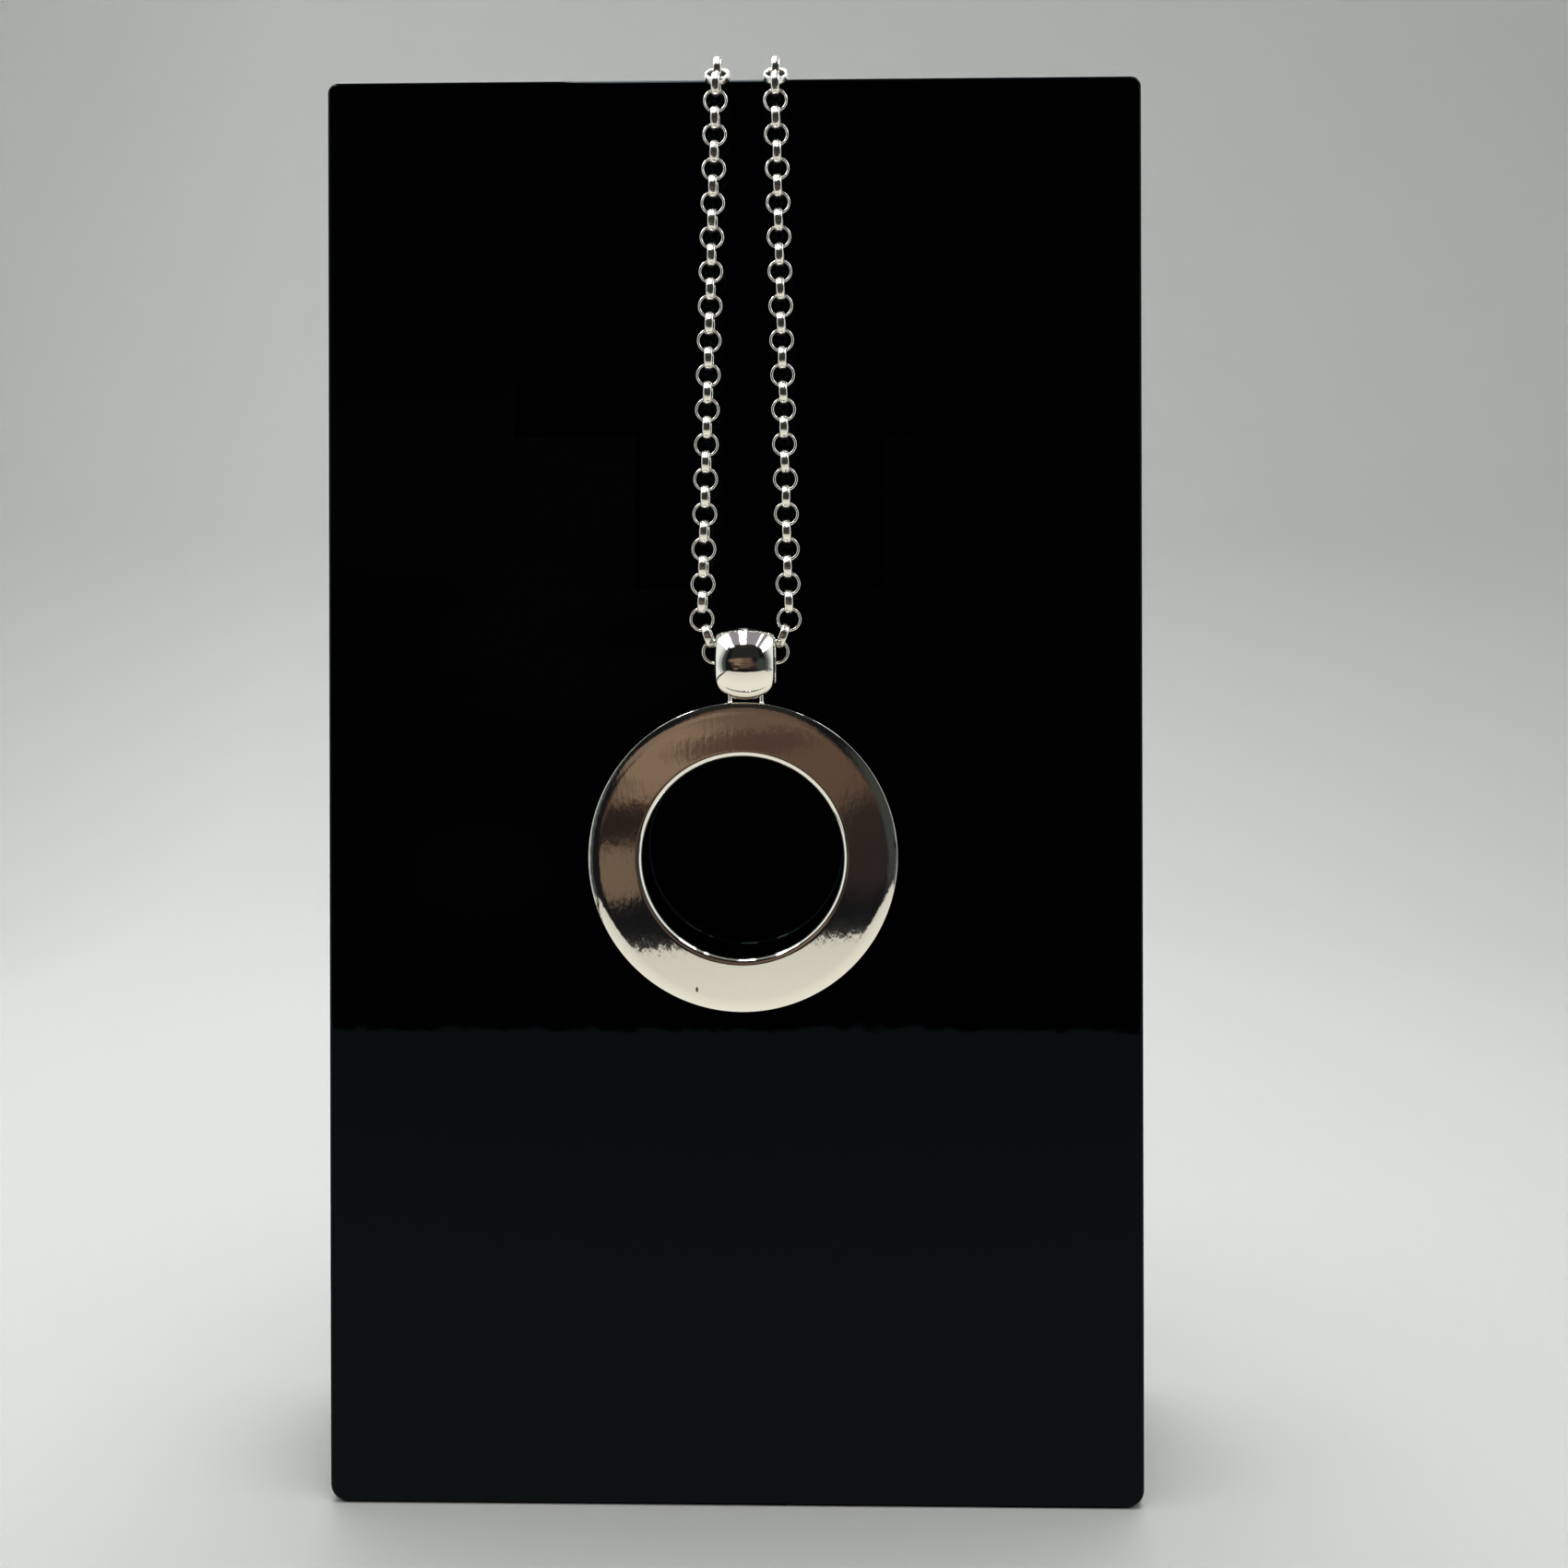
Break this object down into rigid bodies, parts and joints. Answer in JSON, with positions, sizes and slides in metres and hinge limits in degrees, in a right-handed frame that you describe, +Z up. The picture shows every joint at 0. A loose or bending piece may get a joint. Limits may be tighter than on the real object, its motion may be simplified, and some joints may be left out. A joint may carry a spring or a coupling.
{
  "type": "open circle pendant necklace on a display block",
  "caption": "Polished open circle pendant with a barrel bail on a round belcher chain, hung over a plain gloss black display block.",
  "frame": {"origin": "middle of the display block's underside", "axes": "+Z up, the front of the block and the pendant face -Y, +X to the right seen from the front"},
  "size_m": [0.08, 0.0347, 0.1425],
  "materials": {
    "polished_silver": "hand-polished sterling silver with fine brush lines",
    "black_gloss": "deep black high-gloss lacquer"
  },
  "bodies": {
    "display": {"display_block": "black_gloss", "chain": "polished_silver", "clasp": "polished_silver"},
    "bail": {"bail": "polished_silver"},
    "circle": {"open_circle": "polished_silver"}
  },
  "joints": [
    {"name": "bail_swing", "type": "hinge", "parent": "display", "child": "bail", "pos_m": [0.00136, -0.0162, 0.08385], "axis": [-1, 0, 0], "range_deg": [0, 90]},
    {"name": "circle_swing", "type": "hinge", "parent": "bail", "child": "circle", "pos_m": [0.00136, -0.0162, 0.07969], "axis": [-1, 0, 0], "range_deg": [-4, 14]}
  ]
}
